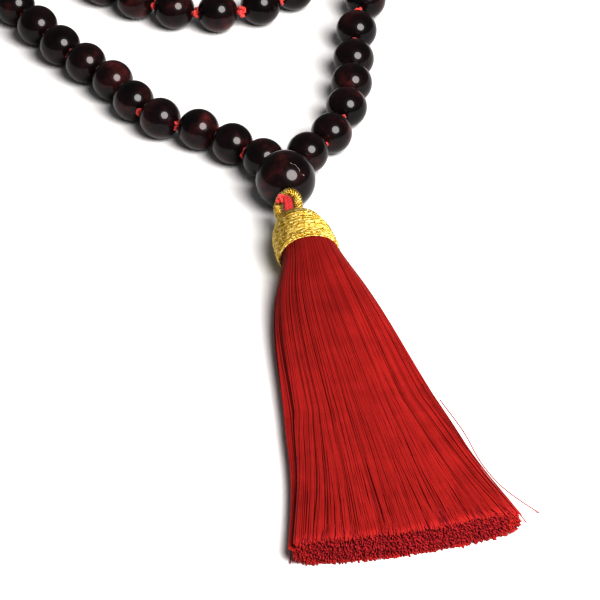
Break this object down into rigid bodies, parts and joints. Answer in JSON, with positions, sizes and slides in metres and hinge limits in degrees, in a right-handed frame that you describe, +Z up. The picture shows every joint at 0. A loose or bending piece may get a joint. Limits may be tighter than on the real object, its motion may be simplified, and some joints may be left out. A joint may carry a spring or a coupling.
{
  "type": "mala prayer beads",
  "caption": "Mala of polished dark garnet beads, knotted one by one on a red cord, with a larger guru bead and a long fanned silk tassel hung from a gold thread-wound head.",
  "frame": {"origin": "the middle of the footprint, on the table, under the strand and the tassel", "axes": "+Z up, -Y the way the tassel points, +X to the right of someone who faces the tassel's back from the tassel's end"},
  "size_m": [0.1576, 0.3592, 0.012],
  "materials": {
    "garnet": "polished",
    "guru_garnet": "polished",
    "red_cord": "twisted and knotted",
    "gold_cord": "metallic thread, braided",
    "gold_thread": "metallic thread, wound",
    "red_silk": "lustrous, combed",
    "binding_thread": "waxed"
  },
  "bodies": {
    "strand_front": {"cord_front": "red_cord"},
    "strand_middle": {"cord_middle": "red_cord"},
    "strand_rear": {"cord_rear": "red_cord", "beads_rear": "garnet"},
    "strand_back": {"cord_back": "red_cord", "beads_back": "garnet"},
    "guru": {"guru_bead": "guru_garnet"},
    "tie_knot": {"gather_knot": "red_cord"},
    "tassel": {"gold_loop": "gold_cord", "head_winding": "gold_thread", "head_core": "red_silk", "neck_binding": "binding_thread", "skirt": "red_silk"},
    "bead_001_body": {"bead_001": "garnet"},
    "bead_002_body": {"bead_002": "garnet"},
    "bead_003_body": {"bead_003": "garnet"},
    "bead_004_body": {"bead_004": "garnet"},
    "bead_005_body": {"bead_005": "garnet"},
    "bead_006_body": {"bead_006": "garnet"},
    "bead_007_body": {"bead_007": "garnet"},
    "bead_008_body": {"bead_008": "garnet"},
    "bead_009_body": {"bead_009": "garnet"},
    "bead_010_body": {"bead_010": "garnet"},
    "bead_011_body": {"bead_011": "garnet"},
    "bead_012_body": {"bead_012": "garnet"},
    "bead_013_body": {"bead_013": "garnet"},
    "bead_014_body": {"bead_014": "garnet"},
    "bead_055_body": {"bead_055": "garnet"},
    "bead_056_body": {"bead_056": "garnet"},
    "bead_057_body": {"bead_057": "garnet"},
    "bead_058_body": {"bead_058": "garnet"},
    "bead_059_body": {"bead_059": "garnet"},
    "bead_060_body": {"bead_060": "garnet"},
    "bead_061_body": {"bead_061": "garnet"},
    "bead_062_body": {"bead_062": "garnet"},
    "bead_063_body": {"bead_063": "garnet"},
    "bead_064_body": {"bead_064": "garnet"},
    "bead_065_body": {"bead_065": "garnet"},
    "bead_066_body": {"bead_066": "garnet"},
    "bead_099_body": {"bead_099": "garnet"},
    "bead_100_body": {"bead_100": "garnet"},
    "bead_101_body": {"bead_101": "garnet"},
    "bead_102_body": {"bead_102": "garnet"},
    "bead_103_body": {"bead_103": "garnet"},
    "bead_104_body": {"bead_104": "garnet"},
    "bead_105_body": {"bead_105": "garnet"},
    "bead_106_body": {"bead_106": "garnet"},
    "bead_107_body": {"bead_107": "garnet"},
    "bead_108_body": {"bead_108": "garnet"}
  },
  "joints": [
    {"name": "fold_front", "type": "hinge", "parent": "strand_front", "child": "strand_middle", "pos_m": [0.01431, -0.01529, 0.0042], "axis": [1, 0, 0], "range_deg": [0, 45]},
    {"name": "fold_middle", "type": "hinge", "parent": "strand_middle", "child": "strand_rear", "pos_m": [0.01431, 0.04321, 0.0042], "axis": [1, 0, 0], "range_deg": [0, 45]},
    {"name": "fold_back", "type": "hinge", "parent": "strand_rear", "child": "strand_back", "pos_m": [0.01431, 0.08721, 0.0042], "axis": [1, 0, 0], "range_deg": [0, 45]},
    {"name": "tassel_lift", "type": "hinge", "parent": "strand_front", "child": "tie_knot", "pos_m": [0.01431, -0.06539, 0.006], "axis": [-1, 0, 0], "range_deg": [0, 38]},
    {"name": "tassel_swing", "type": "hinge", "parent": "tie_knot", "child": "tassel", "pos_m": [0.01451, -0.06819, 0.0063], "axis": [0, 0, 1], "range_deg": [-18, 25]},
    {"name": "guru_turn", "type": "hinge", "parent": "strand_front", "child": "guru", "pos_m": [0.01431, -0.05879, 0.006], "axis": [0, 1, 0], "continuous": true},
    {"name": "turn_bead_001", "type": "hinge", "parent": "strand_front", "child": "bead_001_body", "pos_m": [0.00987, -0.04899, 0.00466], "axis": [-0.8068, 0.5836, -0.0918], "continuous": true},
    {"name": "turn_bead_002", "type": "hinge", "parent": "strand_front", "child": "bead_002_body", "pos_m": [0.00362, -0.04274, 0.00423], "axis": [-0.5944, 0.8041, -0.0072], "continuous": true},
    {"name": "turn_bead_003", "type": "hinge", "parent": "strand_front", "child": "bead_003_body", "pos_m": [-0.00321, -0.03731, 0.0042], "axis": [-0.9221, 0.3869, 0], "continuous": true},
    {"name": "turn_bead_004", "type": "hinge", "parent": "strand_front", "child": "bead_004_body", "pos_m": [-0.01103, -0.03319, 0.0042], "axis": [-0.8405, 0.5419, 0], "continuous": true},
    {"name": "turn_bead_005", "type": "hinge", "parent": "strand_front", "child": "bead_005_body", "pos_m": [-0.01656, -0.02654, 0.0042], "axis": [-0.3909, 0.9204, 0], "continuous": true},
    {"name": "turn_bead_006", "type": "hinge", "parent": "strand_front", "child": "bead_006_body", "pos_m": [-0.02098, -0.01879, 0.0042], "axis": [-0.5977, 0.8017, 0], "continuous": true},
    {"name": "turn_bead_007", "type": "hinge", "parent": "strand_middle", "child": "bead_007_body", "pos_m": [-0.02662, -0.01204, 0.0042], "axis": [-0.6829, 0.7305, 0], "continuous": true},
    {"name": "turn_bead_008", "type": "hinge", "parent": "strand_middle", "child": "bead_008_body", "pos_m": [-0.03213, -0.00508, 0.0042], "axis": [-0.5539, 0.8326, 0], "continuous": true},
    {"name": "turn_bead_009", "type": "hinge", "parent": "strand_middle", "child": "bead_009_body", "pos_m": [-0.03704, 0.00263, 0.0042], "axis": [-0.5209, 0.8536, 0], "continuous": true},
    {"name": "turn_bead_010", "type": "hinge", "parent": "strand_middle", "child": "bead_010_body", "pos_m": [-0.042, 0.01062, 0.0042], "axis": [-0.5344, 0.8452, 0], "continuous": true},
    {"name": "turn_bead_011", "type": "hinge", "parent": "strand_middle", "child": "bead_011_body", "pos_m": [-0.04707, 0.01806, 0.0042], "axis": [-0.5933, 0.805, 0], "continuous": true},
    {"name": "turn_bead_012", "type": "hinge", "parent": "strand_middle", "child": "bead_012_body", "pos_m": [-0.05233, 0.02485, 0.0042], "axis": [-0.6315, 0.7753, 0], "continuous": true},
    {"name": "turn_bead_013", "type": "hinge", "parent": "strand_middle", "child": "bead_013_body", "pos_m": [-0.05745, 0.03176, 0.0042], "axis": [-0.5586, 0.8294, 0], "continuous": true},
    {"name": "turn_bead_014", "type": "hinge", "parent": "strand_middle", "child": "bead_014_body", "pos_m": [-0.06202, 0.03927, 0.0042], "axis": [-0.4814, 0.8765, 0], "continuous": true},
    {"name": "turn_bead_055", "type": "hinge", "parent": "strand_middle", "child": "bead_055_body", "pos_m": [-0.04201, 0.0391, 0.0042], "axis": [0.4688, -0.8833, 0], "continuous": true},
    {"name": "turn_bead_056", "type": "hinge", "parent": "strand_middle", "child": "bead_056_body", "pos_m": [-0.03686, 0.03149, 0.0042], "axis": [0.6467, -0.7628, 0], "continuous": true},
    {"name": "turn_bead_057", "type": "hinge", "parent": "strand_middle", "child": "bead_057_body", "pos_m": [-0.03051, 0.02486, 0.0042], "axis": [0.7332, -0.68, 0], "continuous": true},
    {"name": "turn_bead_058", "type": "hinge", "parent": "strand_middle", "child": "bead_058_body", "pos_m": [-0.02387, 0.01869, 0.0042], "axis": [0.7331, -0.6801, 0], "continuous": true},
    {"name": "turn_bead_059", "type": "hinge", "parent": "strand_middle", "child": "bead_059_body", "pos_m": [-0.01688, 0.01322, 0.0042], "axis": [0.8361, -0.5485, 0], "continuous": true},
    {"name": "turn_bead_060", "type": "hinge", "parent": "strand_middle", "child": "bead_060_body", "pos_m": [-0.0089, 0.0092, 0.0042], "axis": [0.9376, -0.3476, 0], "continuous": true},
    {"name": "turn_bead_061", "type": "hinge", "parent": "strand_middle", "child": "bead_061_body", "pos_m": [0.0001, 0.00795, 0.0042], "axis": [0.9976, 0.0694, 0], "continuous": true},
    {"name": "turn_bead_062", "type": "hinge", "parent": "strand_middle", "child": "bead_062_body", "pos_m": [0.00894, 0.01074, 0.0042], "axis": [0.8576, 0.5143, 0], "continuous": true},
    {"name": "turn_bead_063", "type": "hinge", "parent": "strand_middle", "child": "bead_063_body", "pos_m": [0.01583, 0.01665, 0.0042], "axis": [0.629, 0.7774, 0], "continuous": true},
    {"name": "turn_bead_064", "type": "hinge", "parent": "strand_middle", "child": "bead_064_body", "pos_m": [0.02062, 0.0239, 0.0042], "axis": [0.4661, 0.8847, 0], "continuous": true},
    {"name": "turn_bead_065", "type": "hinge", "parent": "strand_middle", "child": "bead_065_body", "pos_m": [0.02469, 0.0315, 0.0042], "axis": [0.4775, 0.8786, 0], "continuous": true},
    {"name": "turn_bead_066", "type": "hinge", "parent": "strand_middle", "child": "bead_066_body", "pos_m": [0.02878, 0.03925, 0.0042], "axis": [0.4564, 0.8898, 0], "continuous": true},
    {"name": "turn_bead_099", "type": "hinge", "parent": "strand_middle", "child": "bead_099_body", "pos_m": [0.04502, 0.03948, 0.0042], "axis": [-0.6616, -0.7498, 0], "continuous": true},
    {"name": "turn_bead_100", "type": "hinge", "parent": "strand_middle", "child": "bead_100_body", "pos_m": [0.03896, 0.03163, 0.0042], "axis": [-0.5584, -0.8296, 0], "continuous": true},
    {"name": "turn_bead_101", "type": "hinge", "parent": "strand_middle", "child": "bead_101_body", "pos_m": [0.03424, 0.02326, 0.0042], "axis": [-0.4148, -0.9099, 0], "continuous": true},
    {"name": "turn_bead_102", "type": "hinge", "parent": "strand_middle", "child": "bead_102_body", "pos_m": [0.03081, 0.01308, 0.0042], "axis": [-0.2446, -0.9696, 0], "continuous": true},
    {"name": "turn_bead_103", "type": "hinge", "parent": "strand_middle", "child": "bead_103_body", "pos_m": [0.02883, 0.0009, 0.0042], "axis": [-0.077, -0.997, 0], "continuous": true},
    {"name": "turn_bead_104", "type": "hinge", "parent": "strand_middle", "child": "bead_104_body", "pos_m": [0.02816, -0.01031, 0.0042], "axis": [-0.0388, -0.9992, 0], "continuous": true},
    {"name": "turn_bead_105", "type": "hinge", "parent": "strand_front", "child": "bead_105_body", "pos_m": [0.02769, -0.0196, 0.0042], "axis": [-0.0631, -0.998, 0], "continuous": true},
    {"name": "turn_bead_106", "type": "hinge", "parent": "strand_front", "child": "bead_106_body", "pos_m": [0.02658, -0.02892, 0.0042], "axis": [-0.1656, -0.9862, 0], "continuous": true},
    {"name": "turn_bead_107", "type": "hinge", "parent": "strand_front", "child": "bead_107_body", "pos_m": [0.0235, -0.03889, 0.00432], "axis": [-0.4097, -0.912, 0.0224], "continuous": true},
    {"name": "turn_bead_108", "type": "hinge", "parent": "strand_front", "child": "bead_108_body", "pos_m": [0.01868, -0.04721, 0.00499], "axis": [-0.6064, -0.7847, 0.1284], "continuous": true}
  ]
}
